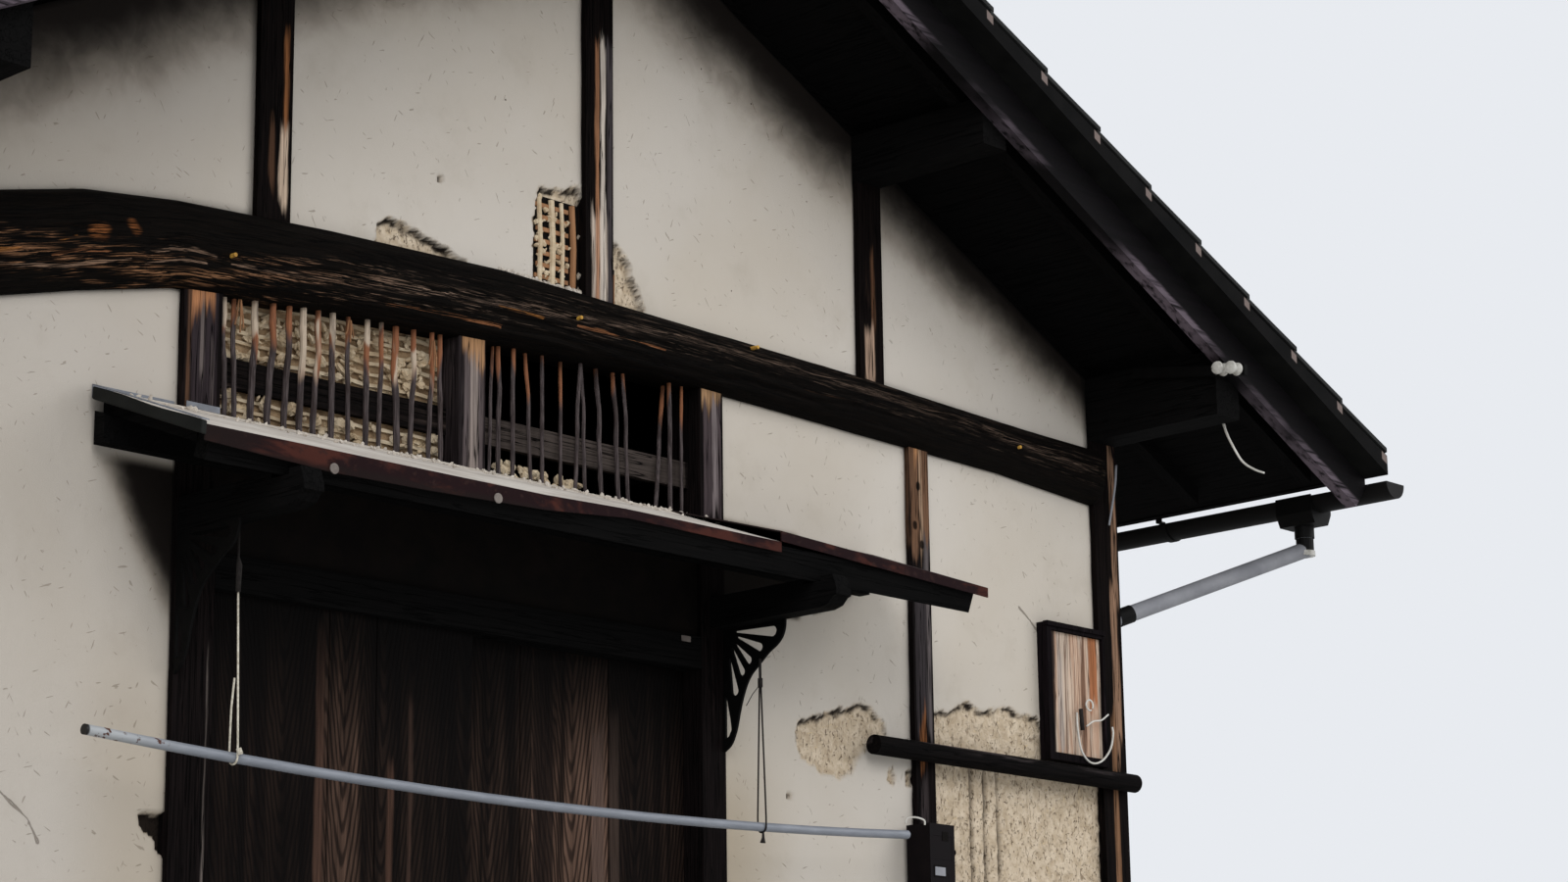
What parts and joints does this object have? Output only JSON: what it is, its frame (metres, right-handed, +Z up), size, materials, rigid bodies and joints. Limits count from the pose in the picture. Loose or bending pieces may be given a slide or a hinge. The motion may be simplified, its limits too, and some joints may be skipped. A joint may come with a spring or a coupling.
{
  "type": "timber town house with a plastered gable front",
  "caption": "Small timber-framed town house with a plastered gable front, bent log beam, sliding plank doors under a sheet awning, barred window and tiled saddle roof.",
  "frame": {"origin": "ground level at the middle of the plan", "axes": "+Z up, -Y towards the gable front with the doors, +X to the right seen from the front"},
  "size_m": [6.178, 6.835, 4.5534],
  "materials": {
    "stone": "rough dressed granite",
    "earth": "beaten earth and lime",
    "dark_timber": "smoke-dark weathered timber",
    "worn_timber": "weathered timber with the dark coat worn off its edges",
    "log": "adzed log, dark with tan knots and checks",
    "roof_tile": "smoked clay tile with lichen",
    "barge_timber": "purple-grey weathered board",
    "plaster": "lime and clay plaster with straw",
    "mud": "mud on bamboo lath",
    "door_planks": "dark cedar planks",
    "rusted_sheet": "maroon paint on sheet, rusted",
    "cast_iron": "blackened cast iron",
    "pole_steel": "grey coated tube with rust at the end",
    "cord": "twisted cord",
    "bare_board": "bare orange-brown board in a dark frame",
    "switch_case": "brown-black moulded case",
    "gutter": "dark brown gutter",
    "grey_pipe": "grey downpipe",
    "porcelain": "white glazed porcelain"
  },
  "bodies": {
    "house": {"footing_stones": "stone", "earth_floor": "earth", "ground_sills": "dark_timber", "corner_posts": "dark_timber", "front_posts": "dark_timber", "window_mullion": "worn_timber", "side_posts": "dark_timber", "rear_posts": "dark_timber", "front_log_beam": "log", "rear_log_beam": "log", "inner_log_beams": "log", "front_struts": "worn_timber", "rear_struts": "worn_timber", "inner_struts": "worn_timber", "eave_plates": "dark_timber", "purlins": "dark_timber", "rafters": "dark_timber", "roof_boards": "dark_timber", "left_roof_tiles": "roof_tile", "right_roof_tiles": "roof_tile", "ridge_tiles": "roof_tile", "front_barge_boards": "barge_timber", "rear_barge_boards": "barge_timber", "eave_boards": "dark_timber", "front_wall_left": "plaster", "front_wall_middle": "plaster", "front_wall_right": "plaster", "front_wall_over_door": "plaster", "front_gable_wall": "plaster", "left_wall": "plaster", "right_wall": "plaster", "rear_wall": "plaster", "rear_gable_wall": "plaster", "door_sill": "worn_timber", "door_head": "dark_timber", "window_sill": "worn_timber", "window_lath": "mud", "window_rail": "dark_timber", "awning_arms": "dark_timber", "awning_purlin": "dark_timber", "awning_rafters": "dark_timber", "awning_boards": "dark_timber", "awning_sheet": "rusted_sheet", "awning_end_sheet": "rusted_sheet", "iron_brackets": "cast_iron", "drying_pole": "pole_steel", "pole_slings": "cord", "side_rail": "dark_timber", "meter_board": "bare_board", "switch_box": "switch_case", "gutters": "gutter", "gutter_hooks": "gutter", "rain_hoppers": "gutter", "downpipes": "grey_pipe", "verge_bar": "cast_iron", "verge_knobs": "porcelain"},
    "left_leaf": {"door_left": "door_planks"},
    "right_leaf": {"door_right": "door_planks"}
  },
  "joints": [
    {"name": "left_door_slide", "type": "slide", "parent": "house", "child": "left_leaf", "axis": [1, 0, 0], "range_m": [0, 0.8]},
    {"name": "right_door_slide", "type": "slide", "parent": "house", "child": "right_leaf", "axis": [-1, 0, 0], "range_m": [0, 0.8]}
  ]
}
